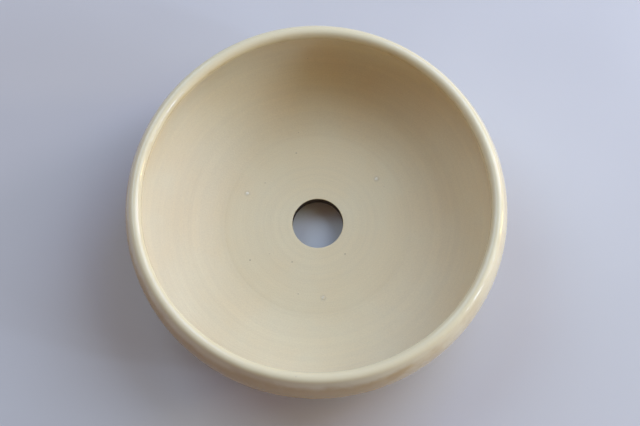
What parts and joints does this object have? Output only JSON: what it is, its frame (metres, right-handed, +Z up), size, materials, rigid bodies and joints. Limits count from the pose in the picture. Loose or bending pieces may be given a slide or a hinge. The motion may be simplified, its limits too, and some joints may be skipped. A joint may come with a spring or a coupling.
{
  "type": "bonsai pot",
  "caption": "Round shallow bonsai pot with a bulging glazed wall turned in to a rounded lip, bare clay inside, a central drainage hole, kiln wad marks and cut foot-ring feet.",
  "frame": {"origin": "on the table, under the centre of the drainage hole", "axes": "+Z up along the pot's turning axis; one foot lies towards +Y"},
  "size_m": [0.1564, 0.1564, 0.0529],
  "materials": {
    "clay": "matt unglazed buff stoneware with fine turning rings",
    "glaze": "glossy cream glaze",
    "kiln_wad": "matt white fired refractory"
  },
  "bodies": {
    "root": {"clay_bowl": "clay", "glaze_coat": "glaze", "foot_1": "glaze", "foot_2": "glaze", "foot_3": "glaze", "spur_mark_1": "kiln_wad", "spur_mark_2": "kiln_wad", "spur_mark_3": "kiln_wad"}
  },
  "joints": []
}
